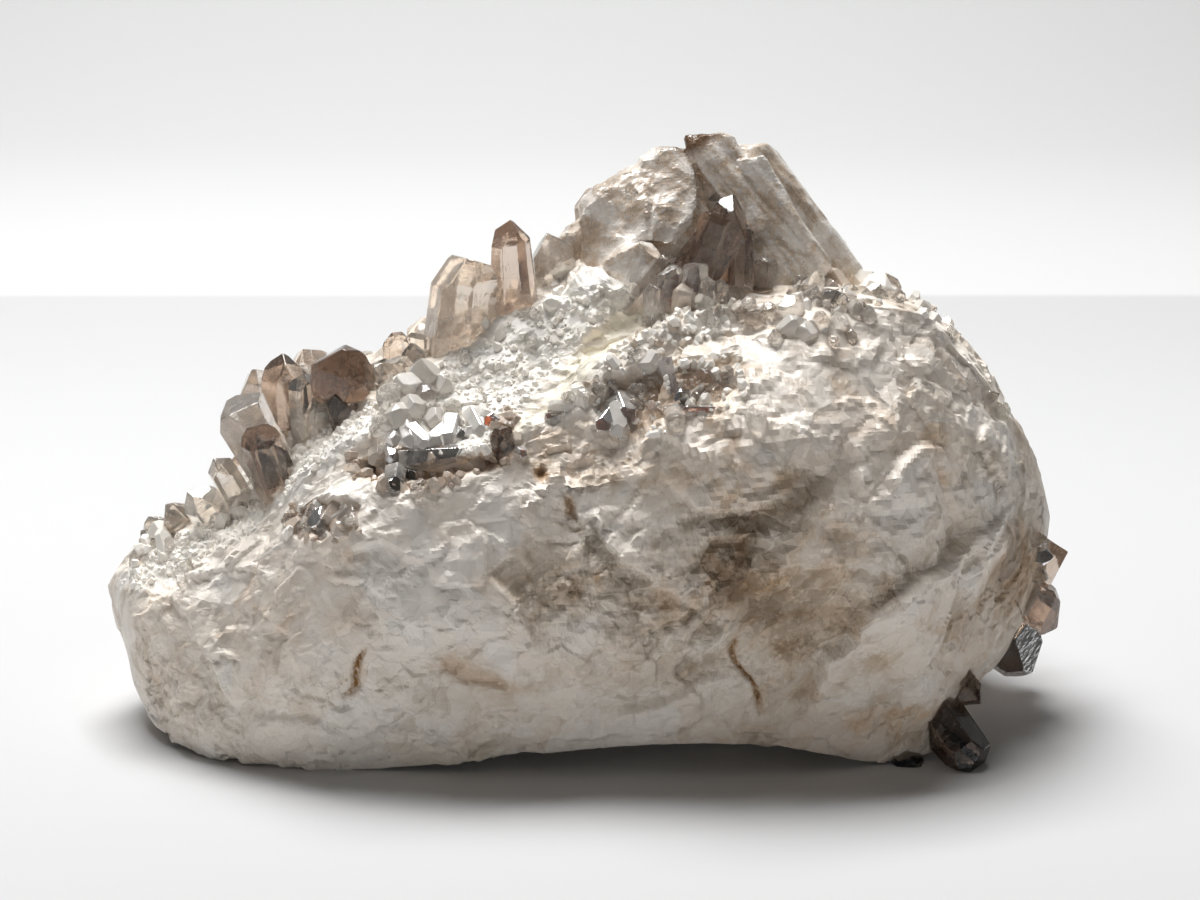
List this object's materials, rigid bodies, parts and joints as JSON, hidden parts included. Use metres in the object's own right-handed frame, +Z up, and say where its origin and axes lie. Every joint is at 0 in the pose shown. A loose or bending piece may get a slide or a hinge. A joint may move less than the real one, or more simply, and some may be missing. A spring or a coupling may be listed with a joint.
{
  "type": "smoky quartz cluster",
  "caption": "Natural cluster of smoky quartz crystals grown on a block of milky massive quartz, lying on its broken underside.",
  "frame": {"origin": "middle of the object's box in plan, at the height of the ground it rests on", "axes": "+X along the long way, to the right when looking at the broken face; the broken face looks along -Y; +Z up"},
  "size_m": [0.1516, 0.1036, 0.0896],
  "materials": {
    "milky": "milky massive quartz with broken faces and a slight sparkle",
    "smoky_pale": "pale smoky quartz crystal, glassy and partly clouded by inner cracks",
    "smoky_mid": "smoky quartz crystal, glassy, see-through brown",
    "smoky_dark": "dark smoky quartz crystal, glassy, deep brown"
  },
  "bodies": {
    "root": {"back_end_1": "smoky_mid", "back_end_2": "smoky_mid", "back_end_3": "smoky_mid", "back_left_1": "smoky_mid", "back_left_2": "smoky_mid", "back_left_3": "smoky_mid", "back_left_4": "smoky_mid", "back_left_5": "smoky_mid", "back_left_6": "smoky_mid", "back_middle": "smoky_mid", "back_right_1": "smoky_mid", "back_right_2": "smoky_mid", "back_right_3": "smoky_mid", "back_right_4": "smoky_mid", "crown": "smoky_pale", "flank_cluster_1": "smoky_dark", "flank_cluster_2": "smoky_dark", "foot_crystal": "smoky_dark", "gap_pair": "smoky_mid", "gap_side_crystal": "smoky_mid", "matrix": "milky", "nest_crust": "smoky_dark", "pocket_crust": "smoky_dark", "slope_cluster": "smoky_mid", "slope_shard_1": "smoky_mid", "slope_shard_2": "smoky_pale", "slope_shard_3_1": "smoky_pale", "slope_shard_3_2": "smoky_pale", "twisted_crystal": "smoky_dark", "under_crystal": "smoky_dark", "vug_crust": "smoky_dark"}
  },
  "joints": []
}
